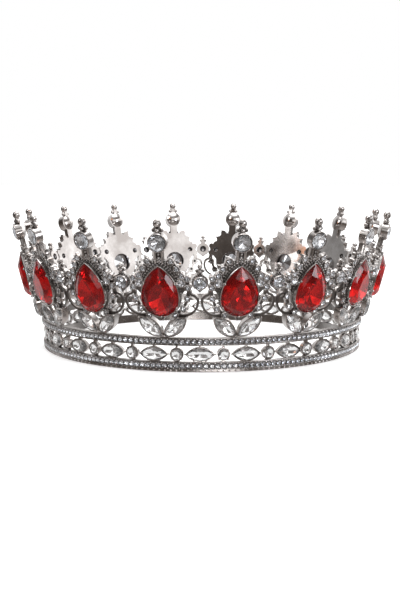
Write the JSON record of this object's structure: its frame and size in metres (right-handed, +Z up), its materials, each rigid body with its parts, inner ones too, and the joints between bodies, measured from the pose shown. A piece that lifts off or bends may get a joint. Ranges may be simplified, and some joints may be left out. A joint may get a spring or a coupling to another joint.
{
  "type": "crown",
  "caption": "Full-round silver-tone crown: a stone-set band with outward-leaning fingers, each carrying a red drop stone, clear leaf stones, a round crest stone and a beaded tip.",
  "frame": {"origin": "centre of the ring, on the surface that the crown stands on", "axes": "+Z up along the ring's axis; the front seen first faces -Y, with the front gap between two fingers on -Y"},
  "size_m": [0.1482, 0.1482, 0.0539],
  "materials": {
    "silver_metal": "bright rhodium-tone plating on a zinc casting",
    "clear_stone": "faceted, foil-backed",
    "red_stone": "faceted, foil-backed"
  },
  "bodies": {
    "root": {"lower_rail": "silver_metal", "lower_rail_stones": "clear_stone", "upper_rail": "silver_metal", "upper_rail_stones": "clear_stone", "navette_settings": "silver_metal", "band_navette_stones": "clear_stone", "round_settings": "silver_metal", "band_round_stones": "clear_stone", "leaf_stones": "clear_stone", "crest_stones": "clear_stone", "shoulder_stones": "clear_stone", "scroll_stones": "clear_stone", "flank_stones": "clear_stone", "bridge_finials": "silver_metal", "bridge_stones": "clear_stone", "finger_casting_1": "silver_metal", "finger_casting_2": "silver_metal", "finger_casting_3": "silver_metal", "finger_casting_4": "silver_metal", "finger_casting_5": "silver_metal", "finger_casting_6": "silver_metal", "finger_casting_7": "silver_metal", "finger_casting_8": "silver_metal", "finger_casting_9": "silver_metal", "finger_casting_10": "silver_metal", "finger_casting_11": "silver_metal", "finger_casting_12": "silver_metal", "finger_casting_13": "silver_metal", "finger_casting_14": "silver_metal", "finger_casting_15": "silver_metal", "finger_casting_16": "silver_metal", "drop_stone_1": "red_stone", "drop_stone_2": "red_stone", "drop_stone_3": "red_stone", "drop_stone_4": "red_stone", "drop_stone_5": "red_stone", "drop_stone_6": "red_stone", "drop_stone_7": "red_stone", "drop_stone_8": "red_stone", "drop_stone_9": "red_stone", "drop_stone_10": "red_stone", "drop_stone_11": "red_stone", "drop_stone_12": "red_stone", "drop_stone_13": "red_stone", "drop_stone_14": "red_stone", "drop_stone_15": "red_stone", "drop_stone_16": "red_stone"}
  },
  "joints": []
}
